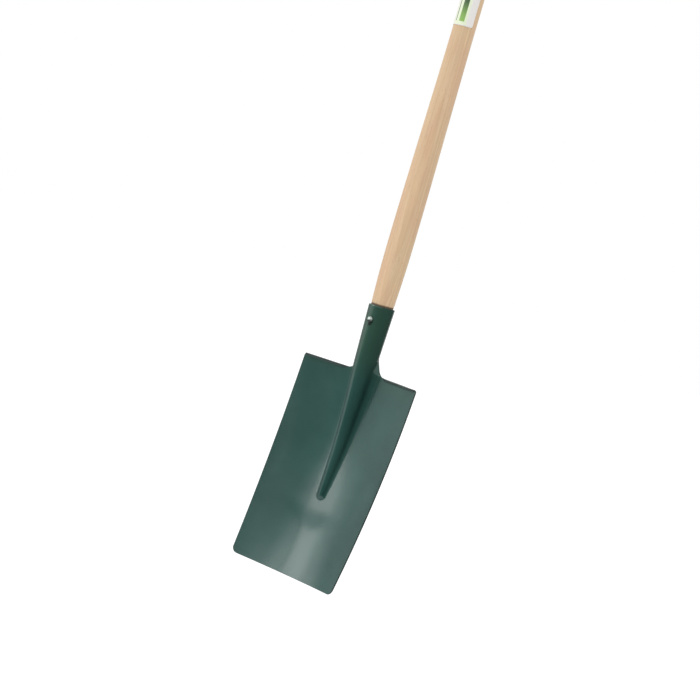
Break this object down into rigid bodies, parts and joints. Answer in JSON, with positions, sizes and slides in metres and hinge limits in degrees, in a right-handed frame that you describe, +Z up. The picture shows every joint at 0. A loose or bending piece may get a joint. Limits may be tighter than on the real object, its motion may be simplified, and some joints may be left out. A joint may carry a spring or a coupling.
{
  "type": "garden spade",
  "caption": "Garden spade: dished rectangular steel blade with ridge and rolled socket, turned wooden shaft and T-grip.",
  "frame": {"origin": "middle of the T-grip's crossbar, on the shaft's axis", "axes": "+Z up along the shaft from blade to grip, +X along the crossbar and across the blade, the dished front face towards -Y"},
  "size_m": [0.2004, 0.0684, 1.0881],
  "materials": {
    "blade_paint": "semi-gloss dark green paint on pressed steel",
    "shaft_wood": "turned pale ash, fine lengthwise grain, thin satin varnish",
    "nail_steel": "bright steel nail with a domed head",
    "label_paper": "white coated paper with plain green bands",
    "grip_wood": "turned pale ash like the shaft, grain along the crossbar",
    "wedge_wood": "darker hardwood wedge, end grain showing",
    "pin_steel": "bright steel pin, filed flush"
  },
  "bodies": {
    "root": {"blade_and_socket": "blade_paint", "shaft": "shaft_wood", "socket_nail": "nail_steel", "shaft_label": "label_paper", "t_grip": "grip_wood", "grip_wedge": "wedge_wood", "grip_pin": "pin_steel"}
  },
  "joints": []
}
